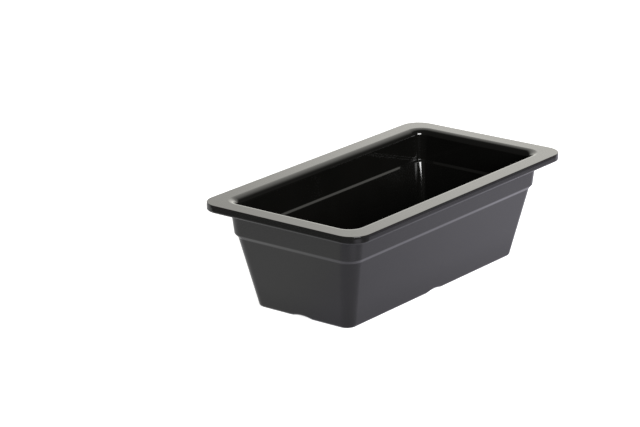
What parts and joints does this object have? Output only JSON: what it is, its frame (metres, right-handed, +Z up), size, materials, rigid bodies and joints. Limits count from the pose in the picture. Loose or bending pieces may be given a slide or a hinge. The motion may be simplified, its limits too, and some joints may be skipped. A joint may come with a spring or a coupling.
{
  "type": "deli food pan",
  "caption": "Deep rectangular third-size food pan with a wide flat rim, an upright collar above a slanted step, and strongly tapered walls, for a chilled deli counter or a bain-marie.",
  "frame": {"origin": "centre of the surface that the foot ring stands on, under the middle of the pan", "axes": "+X along the long side, +Y along the short side, +Z up towards the mouth"},
  "size_m": [0.325, 0.176, 0.1],
  "materials": {
    "pan": "moulded black melamine, glossy, with the faint waviness and fine wipe marks of a pan in use"
  },
  "bodies": {
    "root": {"food_pan": "pan"}
  },
  "joints": []
}
